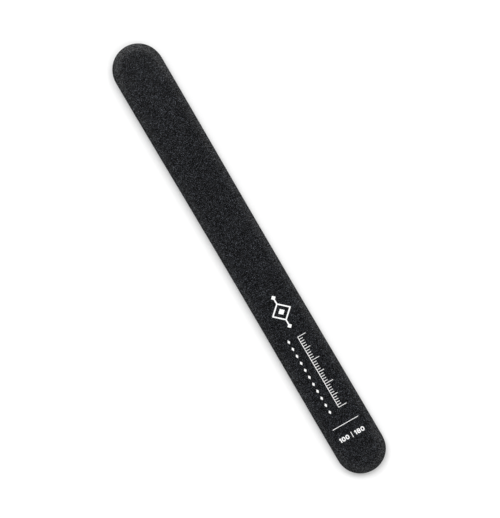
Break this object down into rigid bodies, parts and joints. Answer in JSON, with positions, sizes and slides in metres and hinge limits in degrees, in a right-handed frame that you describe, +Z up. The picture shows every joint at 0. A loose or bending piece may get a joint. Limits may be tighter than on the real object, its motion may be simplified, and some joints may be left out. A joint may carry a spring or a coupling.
{
  "type": "emery board",
  "caption": "Flat double-sided cushioned emery board with round ends, coarse grain on one face and finer grain with white grit numbers on the other, for filing nails.",
  "frame": {"origin": "middle of the coarse face, which is the face the board lies on", "axes": "+X runs along the board to the printed end, +Y runs across it, +Z points up out of the fine face"},
  "size_m": [0.178, 0.0186, 0.004],
  "materials": {
    "coarse_grain": "black silicon carbide grit, sparkling",
    "fine_grain": "black silicon carbide grit, dull",
    "bond_resin": "cured black resin, satin",
    "backing_paper": "black latex paper, cut edge",
    "adhesive_film": "acrylic adhesive film, cut edge",
    "foam": "black closed-cell foam, cut edge",
    "core_plastic": "black polystyrene strip, cut edge",
    "white_ink": "screen-printed white ink"
  },
  "bodies": {
    "root": {"coarse_grain": "coarse_grain", "coarse_bond_coat": "bond_resin", "coarse_backing_paper": "backing_paper", "coarse_paper_adhesive": "adhesive_film", "coarse_side_foam": "foam", "coarse_side_core_adhesive": "adhesive_film", "core_strip": "core_plastic", "fine_side_core_adhesive": "adhesive_film", "fine_side_foam": "foam", "fine_paper_adhesive": "adhesive_film", "fine_backing_paper": "backing_paper", "fine_bond_coat": "bond_resin", "fine_grain": "fine_grain", "printed_grit_numbers": "white_ink", "printed_rule": "white_ink", "printed_scale": "white_ink", "printed_lozenges": "white_ink", "printed_ornament": "white_ink"}
  },
  "joints": []
}
